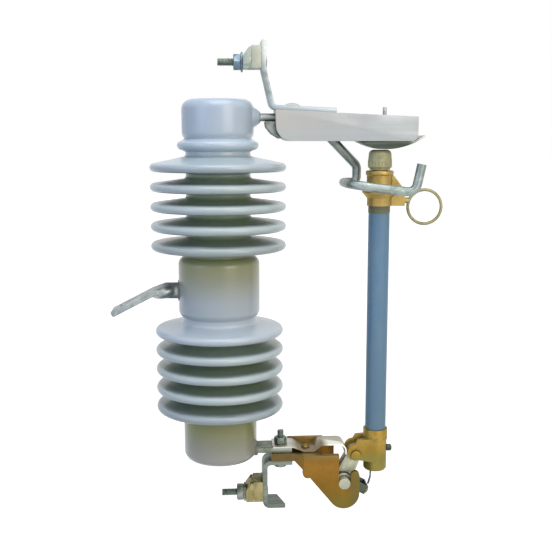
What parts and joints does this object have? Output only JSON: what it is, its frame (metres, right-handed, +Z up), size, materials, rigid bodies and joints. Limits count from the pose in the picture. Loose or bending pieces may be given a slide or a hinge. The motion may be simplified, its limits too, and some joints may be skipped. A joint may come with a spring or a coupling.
{
  "type": "drop-out fuse cutout",
  "caption": "Pole-top fuse cutout: shedded porcelain insulator on a bent steel bracket, sprung top contact, bronze foot hinge, and a fuse tube with a pull ring that swings out.",
  "frame": {"origin": "middle of the bolt hole on the upper, bolting face of the mounting bracket's sloping end", "axes": "+X from the insulator towards the fuse tube, +Z up along the insulator, +Y away from the side that the picture shows"},
  "size_m": [0.3461, 0.1388, 0.4891],
  "materials": {
    "porcelain": "glossy light grey glaze",
    "galvanised_steel": "dull hot-dip zinc",
    "plated_steel": "bright zinc plate",
    "spring_steel": "satin spring strip and wire",
    "bronze": "cast bronze, lightly tarnished",
    "tinned_bronze": "tinned casting",
    "silvered_copper": "silver-plated contact strip",
    "pale_brass": "pale cast brass",
    "fuse_tube_laminate": "painted glass-fibre tube",
    "link_cable": "tinned copper strand"
  },
  "bodies": {
    "cutout_frame": {"insulator": "porcelain", "mounting_bracket": "galvanised_steel", "upper_stud": "galvanised_steel", "stud_gusset": "galvanised_steel", "top_channel": "plated_steel", "upper_terminal_strap": "plated_steel", "upper_clamp_block": "pale_brass", "upper_clamp_keeper": "galvanised_steel", "upper_clamp_bolt": "galvanised_steel", "upper_clamp_nut": "galvanised_steel", "contact_pin": "galvanised_steel", "contact_spring": "spring_steel", "contact_shoe": "spring_steel", "attachment_hook": "galvanised_steel", "lower_insert_bar": "galvanised_steel", "hinge_casting": "bronze", "hinge_bolt": "galvanised_steel", "hinge_bolt_nut": "galvanised_steel", "lower_contact_strip": "silvered_copper", "lower_terminal_strap": "galvanised_steel", "lower_clamp_block": "pale_brass", "lower_clamp_keeper": "pale_brass", "lower_clamp_bolt": "galvanised_steel", "lower_clamp_nut": "galvanised_steel"},
    "fuse_holder": {"fuse_tube": "fuse_tube_laminate", "top_cap": "pale_brass", "top_ferrule": "bronze", "pull_ring": "pale_brass", "bottom_ferrule": "bronze", "ferrule_screw": "galvanised_steel", "toggle_pin": "bronze", "trunnion": "tinned_bronze", "flipper": "spring_steel", "flipper_spring": "spring_steel", "fuse_link": "link_cable", "tail_nut": "pale_brass"}
  },
  "joints": [
    {"name": "dropout_hinge", "type": "hinge", "parent": "cutout_frame", "child": "fuse_holder", "pos_m": [0.22866, 0, -0.19464], "axis": [0, 1, 0], "range_deg": [0, 165]}
  ]
}
